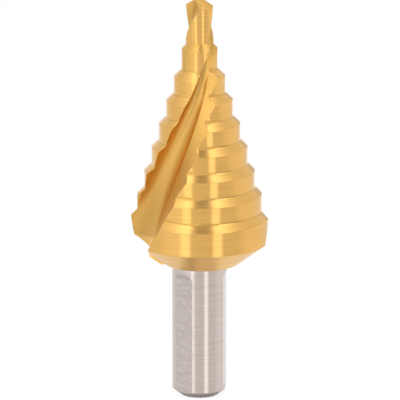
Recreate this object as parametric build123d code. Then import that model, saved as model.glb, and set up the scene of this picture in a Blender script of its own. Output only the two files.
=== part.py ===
from build123d import *
import math
import os

# A step drill, ground from one bar of high-speed steel. A stepped cone with two right-hand spiral
# flutes carries a small drill point, and stands on a round shank with three flats for the chuck.
# All lengths are in millimetres and all angles in degrees. The origin is the centre of the shank's
# end face and +Z runs up the drill's axis to the point. The drill cuts anticlockwise seen from +Z.

# Diameters of the cutting head and the shank.
PILOT_DIAMETER = 4.0
FIRST_STEP_DIAMETER = 6.0
STEP_INCREASE = 2.0
STEP_COUNT = 8
BACK_CONE_END_DIAMETER = 11.6
SHANK_DIAMETER = 8.0

# Lengths along the axis, from the shank's end upwards.
SHANK_LENGTH = 19.8
BACK_CONE_LENGTH = 3.2
LARGEST_LAND_LENGTH = 3.5
STEP_PITCH = 3.5
FIRST_STEP_PITCH = 4.1
PILOT_LENGTH = 6.4

# The drill point.
POINT_ANGLE = 118.0
POINT_RELIEF_ANGLE = 9.0
TIP_RADIUS = 0.02

# The steps: each corner has a 45 degree chamfer, and each land falls away behind its cutting edge.
CHAMFER_ANGLE = 45.0
LAND_RELIEF = 0.5

# The spiral flutes. A flute has a groove under the cutting edge, a ridge at a share of the inner
# radius, and a flat back wall from the ridge to the heel. The mouth and ridge angles count from the
# edge. Each triple is for the smallest step, the largest step and the tip.
FLUTE_COUNT = 2
PILOT_HELIX_ANGLE = 14.0
SMALLEST_HELIX_ANGLE = 20.0
LARGEST_HELIX_ANGLE = 29.0
FLUTE_START_AZIMUTH = -52.7
RAKE_ANGLE = 18.0
MOUTH_ANGLES = (53.0, 60.0, 120.0)
RIDGE_ANGLES = (28.0, 39.0, 54.0)
RIDGE_SHARES = (0.8, 0.71, 0.3)
FLUTE_STATION_TURN = 15.0
HALVINGS = 40

# The shank's flats and its end chamfer.
FLAT_COUNT = 3
FLAT_DEPTH = 0.32
FLAT_LENGTH = 18.7
FLAT_RUN_OUT_RADIUS = 2.0
FLAT_AZIMUTH = -8.5
END_CHAMFER_HEIGHT = 1.0
END_CHAMFER_WIDTH = 1.3

# Room by which a cutting or hidden surface runs past the surface that it meets.
OVERRUN = 1.0

# Radii and heights that follow from the sizes above.
pilot_radius = PILOT_DIAMETER / 2
rise = STEP_INCREASE / 2
step_radii = [FIRST_STEP_DIAMETER / 2 + rise * i for i in range(STEP_COUNT)]
largest_radius = step_radii[-1]
shank_radius = SHANK_DIAMETER / 2
back_cone_top = SHANK_LENGTH + BACK_CONE_LENGTH
largest_corner = back_cone_top + LARGEST_LAND_LENGTH
first_corner = largest_corner + STEP_PITCH * (STEP_COUNT - 2) + FIRST_STEP_PITCH
pilot_corner = first_corner + PILOT_LENGTH
point_height = pilot_radius / math.tan(math.radians(POINT_ANGLE / 2))
apex = pilot_corner + point_height
chamfer_slope = math.tan(math.radians(CHAMFER_ANGLE))
pilot_foot = first_corner + (step_radii[0] - pilot_radius) / chamfer_slope
cone_slope = rise / STEP_PITCH
helix_growth = (
    math.tan(math.radians(LARGEST_HELIX_ANGLE)) - math.tan(math.radians(SMALLEST_HELIX_ANGLE))
) / (largest_radius - pilot_radius)
helix_on_axis = math.tan(math.radians(SMALLEST_HELIX_ANGLE)) - helix_growth * pilot_radius


def corner_height(step):
    """Height at which a step reaches its full radius, counted from the smallest step."""
    if step == 0:
        return first_corner
    return largest_corner + STEP_PITCH * (STEP_COUNT - 1 - step)


def inner_radius(z):
    """Radius of the cone through the foot of every chamfer, and of the pilot above them."""
    return pilot_radius + max(pilot_foot - z, 0) * cone_slope


def along_head(triple, z):
    """A value at a height that follows the cone's growth down the steps, and the pilot up to the tip."""
    smallest, largest, tip = triple
    grown = (inner_radius(z) - pilot_radius) / (largest_radius - pilot_radius)
    on_cone = smallest + (largest - smallest) * grown
    up_pilot = min(max(z - pilot_foot, 0) / (apex - pilot_foot), 1)
    return on_cone + (tip - on_cone) * up_pilot


def edge_azimuth(z):
    """Turn of the cutting edge about the axis, on a helix whose slope grows with the inner radius."""
    if z >= pilot_foot:
        turn = (z - pilot_foot) * math.tan(math.radians(PILOT_HELIX_ANGLE)) / pilot_radius
    else:
        growth = math.log(inner_radius(z) / pilot_radius)
        turn = (z - pilot_foot) * helix_growth - growth * helix_on_axis / cone_slope
    return FLUTE_START_AZIMUTH + math.degrees(turn)


def polar(radius, azimuth, z=0):
    """Point at a radius and azimuth about the drill's axis."""
    angle = math.radians(azimuth)
    return Vector(radius * math.cos(angle), radius * math.sin(angle), z)


def flute_section(z):
    """Outline of one flute at a height: a groove under the cutting edge, a ridge and a flat back wall."""
    azimuth, radius = edge_azimuth(z), inner_radius(z)
    outside = 2 * radius + 2 * rise
    edge = polar(radius, azimuth, z)
    edge_out = polar(outside, azimuth, z)
    ridge = polar(radius * along_head(RIDGE_SHARES, z), azimuth + along_head(RIDGE_ANGLES, z), z)
    heel = polar(radius, azimuth + along_head(MOUTH_ANGLES, z), z)
    heel_out = ridge + (heel - ridge) * (outside / (heel - ridge).length)
    inwards = polar(-1, azimuth + RAKE_ANGLE)
    outline = Wire(
        [
            Edge.make_line(edge_out, edge),
            Edge.make_tangent_arc(edge, inwards, ridge),
            Edge.make_line(ridge, heel_out),
            Edge.make_line(heel_out, edge_out),
        ]
    )
    return Face(outline)


def height_of_azimuth(azimuth):
    """Height at which the cutting edge has turned to an azimuth, found by halving the span it is in."""
    low, high = 0, 2 * apex
    for _ in range(HALVINGS):
        middle = (low + high) / 2
        if edge_azimuth(middle) < azimuth:
            low = middle
        else:
            high = middle
    return middle


def flute_cutter():
    """The space that one flute takes, lofted along the conical helix past both ends of the head."""
    first = edge_azimuth(SHANK_LENGTH - OVERRUN)
    last = edge_azimuth(apex + OVERRUN)
    spans = round((last - first) / FLUTE_STATION_TURN)
    heights = [height_of_azimuth(first + (last - first) * i / spans) for i in range(spans + 1)]
    return loft([flute_section(z) for z in heights])


def relieved_step(step):
    """One step of the cone, as two halves. Each is turned about a shifted axis, so that its land has
    the full radius at its cutting edge and falls away towards its heel."""
    radius, corner = step_radii[step], corner_height(step)
    largest = step == STEP_COUNT - 1
    bottom = back_cone_top if largest else corner_height(step + 1) - OVERRUN / 2
    middle = (corner + bottom) / 2
    half_mouth = along_head(MOUTH_ANGLES, middle) / 2
    offset = LAND_RELIEF / (2 * math.cos(math.radians(half_mouth)))
    turned = math.sqrt(radius**2 + offset**2 - 2 * radius * offset * math.cos(math.radians(half_mouth)))
    hidden = rise + LAND_RELIEF + OVERRUN / 4
    outline = [
        (0, bottom),
        (turned, bottom),
        (turned, corner),
        (turned - hidden, corner + hidden / chamfer_slope),
        (0, corner + hidden / chamfer_slope),
    ]
    if largest:
        narrowed = turned - (largest_radius - BACK_CONE_END_DIAMETER / 2)
        outline[:1] = [(0, SHANK_LENGTH), (narrowed, SHANK_LENGTH)]
    profile = Plane.XZ * make_face(Polyline(*outline, close=True))
    half = Pos(offset, 0, 0) * revolve(profile, Axis.Z, -180)
    azimuth = edge_azimuth(middle) + half_mouth
    return [Rot(0, 0, azimuth + turn) * half for turn in (0, 180)]


def pilot():
    """The round pilot under two tilted cones, which give each lip its clearance behind the edge."""
    cone_height = 2 * PILOT_LENGTH
    shape = Pos(0, 0, first_corner) * Cylinder(
        pilot_radius, apex - first_corner, align=(Align.CENTER, Align.CENTER, Align.MIN)
    )
    spread = cone_height * math.tan(math.radians(POINT_ANGLE / 2))
    cone = Cone(spread, TIP_RADIUS, cone_height, align=(Align.CENTER, Align.CENTER, Align.MAX))
    lip = edge_azimuth(pilot_corner)
    for turn in (0, 180):
        shape = shape & (Pos(0, 0, apex) * Rot(0, 0, lip + turn) * Rot(POINT_RELIEF_ANGLE, 0, 0) * cone)
    return shape


def shank():
    """The round shank with its end chamfer and the flats that the chuck's jaws hold."""
    seated = SHANK_LENGTH + BACK_CONE_LENGTH / 2
    profile = [
        (0, 0),
        (shank_radius - END_CHAMFER_WIDTH, 0),
        (shank_radius, END_CHAMFER_HEIGHT),
        (shank_radius, seated),
        (0, seated),
    ]
    shape = revolve(Plane.XZ * make_face(Polyline(*profile, close=True)), Axis.Z)
    flat_distance = shank_radius - FLAT_DEPTH
    outside = shank_radius + OVERRUN
    rise_of_arc = outside - flat_distance
    run_out = math.sqrt(FLAT_RUN_OUT_RADIUS**2 - (FLAT_RUN_OUT_RADIUS - rise_of_arc) ** 2)
    arc_start = FLAT_LENGTH - math.sqrt(FLAT_RUN_OUT_RADIUS**2 - (FLAT_RUN_OUT_RADIUS - FLAT_DEPTH) ** 2)
    side = Line((outside, -OVERRUN), (flat_distance, -OVERRUN))
    side += Line((flat_distance, -OVERRUN), (flat_distance, arc_start))
    side += TangentArc((flat_distance, arc_start), (outside, arc_start + run_out), tangent=(0, 1))
    side += Line((outside, arc_start + run_out), (outside, -OVERRUN))
    cutter = extrude(Plane.XZ * make_face(side), shank_radius, both=True)
    for i in range(FLAT_COUNT):
        shape -= Rot(0, 0, FLAT_AZIMUTH + 360 / FLAT_COUNT * i) * cutter
    return shape


def step_drill():
    """The whole drill as one solid."""
    lands = [half for step in range(STEP_COUNT) for half in relieved_step(step)]
    head = pilot().fuse(*lands)
    flute = flute_cutter()
    for i in range(FLUTE_COUNT):
        head -= Rot(0, 0, 360 / FLUTE_COUNT * i) * flute
    return head + shank()


os.makedirs("parts", exist_ok=True)
drill = step_drill()
drill.label = "step_drill"
export_step(drill, "parts/step_drill.step")
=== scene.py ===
import math

import bpy
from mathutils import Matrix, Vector

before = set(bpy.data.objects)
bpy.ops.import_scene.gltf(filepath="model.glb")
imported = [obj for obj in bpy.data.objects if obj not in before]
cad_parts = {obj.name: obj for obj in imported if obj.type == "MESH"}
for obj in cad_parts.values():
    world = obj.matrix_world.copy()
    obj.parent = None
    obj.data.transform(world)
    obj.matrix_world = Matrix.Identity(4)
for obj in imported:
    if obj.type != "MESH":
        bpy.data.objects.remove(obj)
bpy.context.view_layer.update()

MM = 0.001

# Heights and radii on the drill that the finishes follow, the same as in the CAD part, but for the
# head's bottom, which is a hundredth of a millimetre lower so that the coating covers the underside.
# A chamfer's foot is where it meets the smaller land above it. From the lowest foot to the highest
# they are a step pitch apart, and the pilot's foot comes above them.
HEAD_BOTTOM = 19.79 * MM
BACK_CONE_TOP = 23.0 * MM
LOWEST_FOOT = 27.5 * MM
HIGHEST_FOOT = 48.5 * MM
PILOT_FOOT = 52.6 * MM
STEP_PITCH = 3.5 * MM
PILOT_RADIUS = 2.0 * MM
LARGEST_RADIUS = 10.0 * MM
SHANK_RADIUS = 4.0 * MM
CONE_SLOPE = 1.0 / 3.5

# Rounding of the ground edges, and the wider fillet that the wheel leaves within reach of a foot.
EDGE_RADIUS = 0.06 * MM
FOOT_RADIUS = 0.4 * MM
FOOT_REACH = 0.4 * MM
FOOT_FADE = 0.1 * MM

# How the surfaces are told apart. No land lies deeper than DEEPEST_LAND inside the cone through the
# feet, as it falls away by 0.5 mm at most. A flute's wall faces round the axis by more than
# WALL_FACING, where 1 is squarely round it. A flat lies deeper than FLAT_MARGIN inside the shank.
DEEPEST_LAND = 0.55 * MM
WALL_FACING = 0.1
FLAT_MARGIN = 0.04 * MM

# The chamfer at the pilot's foot is ground less keenly, so it takes a share of the flutes' softer finish
# and their painted shade, from its middle as far as its reach.
FIRST_CHAMFER_MIDDLE = PILOT_FOOT - 0.5 * MM
FIRST_CHAMFER_REACH = 0.6 * MM
FIRST_CHAMFER_SHARE = 0.6

# Camera: a long lens a metre away, looking a little down on the standing drill.
CAMERA_DISTANCE = 1.0
CAMERA_ELEVATION = 15.0
AIM = Vector((0.06 * MM, 0, 29.0 * MM))
VIEW_WIDTH = 57.8 * MM
SENSOR_WIDTH = 36.0

# The floor: white paper lit from below, as on a light table. The glow is this share of what is seen.
FLOOR_RADIUS = 120 * MM
GLOW_SHARE = 0.8
GLOW_STRENGTH = 1.08

# The light tent in bands, from the table up to overhead. A band starts to fade in at the first height
# and is whole at the second, where 0 is level with the horizon and 1 is straight up. Then come its
# light levels, each at a turn in degrees from the camera's side, positive to the right. The table is
# whole at any height, and the other bands cover it from their own heights up.
TABLE = (-1.2, -1.1, [
    (-180, 0.88), (-80, 0.75), (-45, 0.75), (-20, 1.05), (30, 1.05), (60, 0.95), (120, 0.88), (180, 0.88),
])
LOW_BOXES = (-0.55, -0.4, [
    (-180, 1.0), (-150, 0.95), (-120, 0.92), (-75, 0.95), (-60, 1.08), (-36.8, 1.14), (-35, 1.6),
    (-21, 1.6), (-19, 0.87), (19, 0.87), (21, 1.55), (34.8, 1.55), (36.8, 0.87), (65, 0.88), (80, 1.02),
    (120, 1.02), (150, 0.9), (160, 1.1), (180, 1.1),
])
GAP = (-0.1, 0.0, [
    (-180, 1.0), (-140, 0.8), (-110, 0.4), (-92, 0.4), (-84, 0.75), (-68, 0.75), (-60, 0.5), (-25, 0.85),
    (-8, 0.85), (0, 0.1), (30, 0.02), (72, 0.02), (88, 0.7), (180, 0.7),
])
HIGH_WALLS = (0.18, 0.26, [
    (-180, 1.0), (-143, 0.9), (-125, 0.85), (-98, 1.1), (-65, 1.3), (-40, 1.7), (56, 1.7), (72, 0.85),
    (150, 0.95), (180, 1.0),
])
OVERHEAD_BOXES = (0.5, 0.75, [
    (-180, 0.9), (-125, 0.88), (-98, 1.05), (-80, 1.3), (-60, 1.95), (-42, 2.1), (-34, 0.55), (0, 0.52),
    (38, 0.5), (48, 1.9), (66, 1.9), (84, 1.2), (104, 0.95), (130, 0.9), (180, 0.9),
])

# Colours of the paper, the coating and the steel, as sRGB.
PAPER = "#F2F2F2"
TITANIUM_NITRIDE = "#E8B666"
# The coating in the flutes is a darker gold as painted shade, which stands in for the shade in their
# hollows.
TITANIUM_NITRIDE_WITH_PAINTED_FLUTE_SHADE = "#E1B160"
# The back cone's coating is paler as a painted sheen, which stands in for the pale light it reflects at a
# grazing angle.
PALE_TITANIUM_NITRIDE_WITH_PAINTED_SHEEN = "#FAC876"
HIGH_SPEED_STEEL = "#CEC2BA"
MILLED_STEEL = "#CABFBB"

# Nearly all of a grain's values lie between these two.
GRAIN_LOW = 0.3
GRAIN_HIGH = 0.7

# The turn, as a share of a full one, that makes highlights blur along the drill's axis.
ALONG_AXIS = 0.25


def linear(hex_colour):
    """An sRGB hex colour as linear RGBA."""
    parts = [int(hex_colour[i:i + 2], 16) / 255 for i in (1, 3, 5)]
    return [c / 12.92 if c <= 0.04045 else ((c + 0.055) / 1.055) ** 2.4 for c in parts] + [1.0]


def add_node(tree, kind, settings=None, inputs=None):
    """Adds a node, sets its properties, and sets or links its inputs."""
    node = tree.nodes.new(kind)
    for name, value in (settings or {}).items():
        setattr(node, name, value)
    for name, value in (inputs or {}).items():
        socket = node.inputs[name]
        if isinstance(value, bpy.types.NodeSocket):
            tree.links.new(value, socket)
        else:
            socket.default_value = value
    return node


def new_material(name):
    """An empty material and its node tree."""
    material = bpy.data.materials.new(name)
    material.use_nodes = True
    material.node_tree.nodes.clear()
    return material, material.node_tree


def make_camera():
    """The camera, aimed at the middle of the drill."""
    camera = bpy.data.objects.new("camera", bpy.data.cameras.new("camera"))
    bpy.context.collection.objects.link(camera)
    tilt = math.radians(CAMERA_ELEVATION)
    camera.location = AIM + Vector((0, -math.cos(tilt), math.sin(tilt))) * CAMERA_DISTANCE
    camera.rotation_euler = (AIM - camera.location).to_track_quat("-Z", "Y").to_euler()
    camera.data.sensor_width = SENSOR_WIDTH
    camera.data.lens = SENSOR_WIDTH * CAMERA_DISTANCE / VIEW_WIDTH
    camera.data.clip_start = 0.01
    camera.data.clip_end = 10
    bpy.context.scene.camera = camera


def light_round_the_tent(tree, share, levels):
    """The light of one band, by the share of a full turn round the tent."""
    ramp = add_node(tree, "ShaderNodeValToRGB", inputs={"Fac": share})
    elements = ramp.color_ramp.elements
    while len(elements) < len(levels):
        elements.new(0.5)
    for element, (degrees, level) in zip(elements, levels):
        element.position = (degrees + 180) / 360
        element.color = (level, level, level, 1.0)
    return ramp.outputs["Color"]


def make_world():
    """A light tent: softboxes beside and over the camera, pale walls, and a dark gap round the table.
    The camera itself sees plain white."""
    world = bpy.data.worlds.new("studio")
    bpy.context.scene.world = world
    world.use_nodes = True
    tree = world.node_tree
    tree.nodes.clear()
    direction = add_node(tree, "ShaderNodeTexCoord").outputs["Generated"]
    axes = add_node(tree, "ShaderNodeSeparateXYZ", inputs={"Vector": direction}).outputs
    front = add_node(tree, "ShaderNodeMath", {"operation": "MULTIPLY"}, {0: axes["Y"], 1: -1.0})
    turn = add_node(tree, "ShaderNodeMath", {"operation": "ARCTAN2"}, {0: axes["X"], 1: front.outputs[0]})
    share = add_node(tree, "ShaderNodeMapRange", inputs={
        "Value": turn.outputs[0], "From Min": -math.pi, "From Max": math.pi,
    }).outputs["Result"]
    # Each band covers the ones before it. The mix takes its two colours at inputs 6 and 7 and gives
    # their mix at output 2.
    light = (0, 0, 0, 1)
    for fade_start, fade_end, levels in (TABLE, LOW_BOXES, GAP, HIGH_WALLS, OVERHEAD_BOXES):
        band = light_round_the_tent(tree, share, levels)
        fade = add_node(tree, "ShaderNodeMapRange", inputs={
            "Value": axes["Z"], "From Min": fade_start, "From Max": fade_end,
        }).outputs["Result"]
        mix = add_node(tree, "ShaderNodeMix", {"data_type": "RGBA"}, {"Factor": fade, 6: light, 7: band})
        light = mix.outputs[2]
    tent = add_node(tree, "ShaderNodeBackground", inputs={"Color": light, "Strength": 1.0})
    white = add_node(tree, "ShaderNodeBackground", inputs={"Color": (1, 1, 1, 1), "Strength": 1.0})
    seen = add_node(tree, "ShaderNodeLightPath").outputs["Is Camera Ray"]
    mix = add_node(tree, "ShaderNodeMixShader", inputs={0: seen, 1: tent.outputs[0], 2: white.outputs[0]})
    add_node(tree, "ShaderNodeOutputWorld", inputs={"Surface": mix.outputs[0]})


def make_paper():
    """White paper on a light table: it takes a soft shadow, and reflections see the light through it
    except close to the drill, where the shank's end mirrors its own shadow."""
    material, tree = new_material("floor_white")
    paper = add_node(tree, "ShaderNodeBsdfDiffuse", inputs={"Color": linear(PAPER)}).outputs[0]
    glow = add_node(tree, "ShaderNodeEmission", inputs={"Strength": GLOW_STRENGTH}).outputs[0]
    through = add_node(tree, "ShaderNodeBsdfTransparent").outputs[0]
    path = add_node(tree, "ShaderNodeLightPath").outputs
    share = add_node(tree, "ShaderNodeMath", {"operation": "MULTIPLY"}, {
        0: path["Is Camera Ray"], 1: GLOW_SHARE,
    }).outputs[0]
    lit = add_node(tree, "ShaderNodeMixShader", inputs={0: share, 1: paper, 2: glow}).outputs[0]
    position = add_node(tree, "ShaderNodeTexCoord").outputs["Object"]
    from_axis = add_node(tree, "ShaderNodeVectorMath", {"operation": "LENGTH"}, {0: position})
    beyond = add_node(tree, "ShaderNodeMapRange", inputs={
        "Value": from_axis.outputs["Value"], "From Min": SHANK_RADIUS, "From Max": 2 * SHANK_RADIUS,
    }).outputs["Result"]
    open_share = add_node(tree, "ShaderNodeMath", {"operation": "MULTIPLY"}, {
        0: path["Is Glossy Ray"], 1: beyond,
    }).outputs[0]
    mix = add_node(tree, "ShaderNodeMixShader", inputs={0: open_share, 1: lit, 2: through})
    add_node(tree, "ShaderNodeOutputMaterial", inputs={"Surface": mix.outputs[0]})
    return material


def make_floor():
    """A round sheet of paper under the drill, as part of the stage."""
    bpy.ops.mesh.primitive_circle_add(vertices=96, radius=FLOOR_RADIUS, fill_type="NGON")
    floor = bpy.context.object
    floor.name = "floor"
    floor.data.materials.append(make_paper())


def rounded_edges(tree, height):
    """Normals that round the drill's ground edges, and the feet of its chamfers more than the rest."""
    over_lowest = add_node(tree, "ShaderNodeMath", {"operation": "SUBTRACT"}, {0: height, 1: LOWEST_FOOT})
    off_foot = add_node(tree, "ShaderNodeMath", {"operation": "PINGPONG"}, {
        0: over_lowest.outputs[0], 1: STEP_PITCH / 2,
    })
    over_highest = add_node(tree, "ShaderNodeMath", {"operation": "SUBTRACT"}, {0: height, 1: HIGHEST_FOOT})
    off_feet = add_node(tree, "ShaderNodeMath", {"operation": "MAXIMUM"}, {
        0: off_foot.outputs[0], 1: over_highest.outputs[0],
    })
    radius = add_node(tree, "ShaderNodeMapRange", inputs={
        "Value": off_feet.outputs[0], "From Min": FOOT_REACH, "From Max": FOOT_REACH + FOOT_FADE,
        "To Min": FOOT_RADIUS, "To Max": EDGE_RADIUS,
    }).outputs["Result"]
    return add_node(tree, "ShaderNodeBevel", {"samples": 8}, {"Radius": radius}).outputs[0]


def grain(tree, position, across, along):
    """Uneven grain, from 0 to 1, with so many marks in a millimetre across the axis and along it."""
    stretched = add_node(tree, "ShaderNodeVectorMath", {"operation": "MULTIPLY"}, {
        0: position, 1: (across / MM, across / MM, along / MM),
    })
    return add_node(tree, "ShaderNodeTexNoise", inputs={
        "Vector": stretched.outputs[0], "Scale": 1.0, "Detail": 3.0, "Roughness": 0.6,
    }).outputs["Fac"]


def metal(tree, colour, marks, normal, shading, roughness, anisotropic):
    """Metal whose highlights stay sharp round the axis and blur along it, by as much as it is
    anisotropic. Its marks lighten and darken its colour by the share of shading."""
    tangent = add_node(tree, "ShaderNodeTangent", {"direction_type": "RADIAL", "axis": "Z"}).outputs[0]
    shade = add_node(tree, "ShaderNodeMapRange", inputs={
        "Value": marks, "From Min": GRAIN_LOW, "From Max": GRAIN_HIGH,
        "To Min": 1 - shading, "To Max": 1 + shading,
    }).outputs["Result"]
    tinted = add_node(tree, "ShaderNodeVectorMath", {"operation": "SCALE"}, {
        0: linear(colour)[:3], "Scale": shade,
    }).outputs[0]
    return add_node(tree, "ShaderNodeBsdfPrincipled", inputs={
        "Base Color": tinted, "Metallic": 1.0, "Roughness": roughness,
        "Anisotropic": anisotropic, "Anisotropic Rotation": ALONG_AXIS,
        "Tangent": tangent, "Normal": normal,
    }).outputs[0]


def flute_mask(tree, height, from_axis, outwards, normal):
    """1 on the walls of the flutes and 0 on the lands and chamfers. A wall either faces round the axis
    or lies deeper than the deepest land."""
    around = add_node(tree, "ShaderNodeVectorMath", {"operation": "CROSS_PRODUCT"}, {
        0: (0, 0, 1), 1: outwards,
    })
    facing = add_node(tree, "ShaderNodeVectorMath", {"operation": "DOT_PRODUCT"}, {
        0: around.outputs[0], 1: normal,
    })
    either_way = add_node(tree, "ShaderNodeMath", {"operation": "ABSOLUTE"}, {0: facing.outputs["Value"]})
    wall = add_node(tree, "ShaderNodeMath", {"operation": "GREATER_THAN"}, {
        0: either_way.outputs[0], 1: WALL_FACING,
    })
    below_foot = add_node(tree, "ShaderNodeMath", {"operation": "SUBTRACT", "use_clamp": True}, {
        0: PILOT_FOOT, 1: height,
    })
    cone = add_node(tree, "ShaderNodeMath", {"operation": "MULTIPLY_ADD"}, {
        0: below_foot.outputs[0], 1: CONE_SLOPE, 2: PILOT_RADIUS,
    })
    widest = add_node(tree, "ShaderNodeMath", {"operation": "MINIMUM"}, {
        0: cone.outputs[0], 1: LARGEST_RADIUS,
    })
    relieved = add_node(tree, "ShaderNodeMath", {"operation": "SUBTRACT"}, {
        0: widest.outputs[0], 1: DEEPEST_LAND,
    })
    deep = add_node(tree, "ShaderNodeMath", {"operation": "LESS_THAN"}, {
        0: from_axis, 1: relieved.outputs[0],
    })
    mask = add_node(tree, "ShaderNodeMath", {"operation": "MAXIMUM"}, {
        0: wall.outputs[0], 1: deep.outputs[0],
    })
    return mask.outputs[0]


def first_chamfer_mask(tree, height):
    """The chamfer at the pilot's foot, as its share of the flutes' finish, and 0 elsewhere."""
    band = add_node(tree, "ShaderNodeMath", {"operation": "COMPARE"}, {
        0: height, 1: FIRST_CHAMFER_MIDDLE, 2: FIRST_CHAMFER_REACH,
    })
    share = add_node(tree, "ShaderNodeMath", {"operation": "MULTIPLY"}, {
        0: band.outputs[0], 1: FIRST_CHAMFER_SHARE,
    })
    return share.outputs[0]


def coated_head(tree, height, in_flute, lines, mottle, normal):
    """Titanium nitride over the whole cutting head, in three finishes, two with painted light: painted
    shade in the flutes and a painted sheen on the back cone.
    """
    # Over ground lands and chamfers: warm gold with crisp bright strips that run up the drill.
    lands = metal(tree, TITANIUM_NITRIDE, lines, normal, shading=0.06, roughness=0.18, anisotropic=0.75)
    # Over the flutes, which a coarser wheel left duller: soft, wide highlights, and a darker gold that is
    # painted shade, standing in for the shade in the flutes' hollows.
    flutes = metal(
        tree, TITANIUM_NITRIDE_WITH_PAINTED_FLUTE_SHADE, mottle, normal, shading=0.02, roughness=0.38, anisotropic=0.0
    )
    # Over the back cone: a paler gold that is a painted sheen, standing in for the pale light the downward
    # cone reflects at a grazing angle, with the turning lines showing in it.
    back_cone = metal(
        tree, PALE_TITANIUM_NITRIDE_WITH_PAINTED_SHEEN, lines, normal, shading=0.1, roughness=0.3, anisotropic=0.4
    )
    soft = add_node(tree, "ShaderNodeMath", {"operation": "MAXIMUM"}, {
        0: in_flute, 1: first_chamfer_mask(tree, height),
    }).outputs[0]
    cut = add_node(tree, "ShaderNodeMixShader", inputs={0: soft, 1: lands, 2: flutes}).outputs[0]
    at_back = add_node(tree, "ShaderNodeMath", {"operation": "LESS_THAN"}, {
        0: height, 1: BACK_CONE_TOP,
    }).outputs[0]
    return add_node(tree, "ShaderNodeMixShader", inputs={0: at_back, 1: cut, 2: back_cone}).outputs[0]


def bare_shank(tree, from_axis, lines, mottle, normal):
    """Bare high-speed steel, ground on the shank's round and milled on its flats and end."""
    # Ground round: pale warm grey with crisp strips, crossed by fine lines from the wheel.
    ground = metal(tree, HIGH_SPEED_STEEL, lines, normal, shading=0.06, roughness=0.18, anisotropic=0.75)
    # Milled: a cooler, duller grey with a cloudy mottle that hides the strips.
    milled = metal(tree, MILLED_STEEL, mottle, normal, shading=0.1, roughness=0.26, anisotropic=0.5)
    on_flat = add_node(tree, "ShaderNodeMath", {"operation": "LESS_THAN"}, {
        0: from_axis, 1: SHANK_RADIUS - FLAT_MARGIN,
    }).outputs[0]
    return add_node(tree, "ShaderNodeMixShader", inputs={0: on_flat, 1: ground, 2: milled}).outputs[0]


def make_drill_metal():
    """Gold titanium nitride on the cutting head and bare high-speed steel on the shank."""
    material, tree = new_material("titanium_nitride_on_ground_steel")
    coordinates = add_node(tree, "ShaderNodeTexCoord").outputs
    position = coordinates["Object"]
    axes = add_node(tree, "ShaderNodeSeparateXYZ", inputs={"Vector": position}).outputs
    height = axes["Z"]
    level = add_node(tree, "ShaderNodeCombineXYZ", inputs={"X": axes["X"], "Y": axes["Y"]}).outputs[0]
    from_axis = add_node(tree, "ShaderNodeVectorMath", {"operation": "LENGTH"}, {0: level}).outputs["Value"]
    outwards = add_node(tree, "ShaderNodeVectorMath", {"operation": "NORMALIZE"}, {0: level}).outputs[0]
    normal = rounded_edges(tree, height)
    # Lines that the wheel left round the drill. Real ones are some hundredths of a millimetre apart, and
    # these are drawn at about 0.2 mm, so that they show.
    lines = grain(tree, position, across=0.15, along=5.0)
    # Cloudy marks about a millimetre wide, as a milling cutter leaves them.
    mottle = grain(tree, position, across=0.9, along=1.8)
    in_flute = flute_mask(tree, height, from_axis, outwards, coordinates["Normal"])
    head = coated_head(tree, height, in_flute, lines, mottle, normal)
    shank = bare_shank(tree, from_axis, lines, mottle, normal)
    coated = add_node(tree, "ShaderNodeMath", {"operation": "GREATER_THAN"}, {0: height, 1: HEAD_BOTTOM})
    mix = add_node(tree, "ShaderNodeMixShader", inputs={0: coated.outputs[0], 1: shank, 2: head})
    add_node(tree, "ShaderNodeOutputMaterial", inputs={"Surface": mix.outputs[0]})
    return material


bpy.context.scene.view_settings.view_transform = "Standard"
make_camera()
make_world()
make_floor()
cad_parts["step_drill"].material_slots[0].material = make_drill_metal()
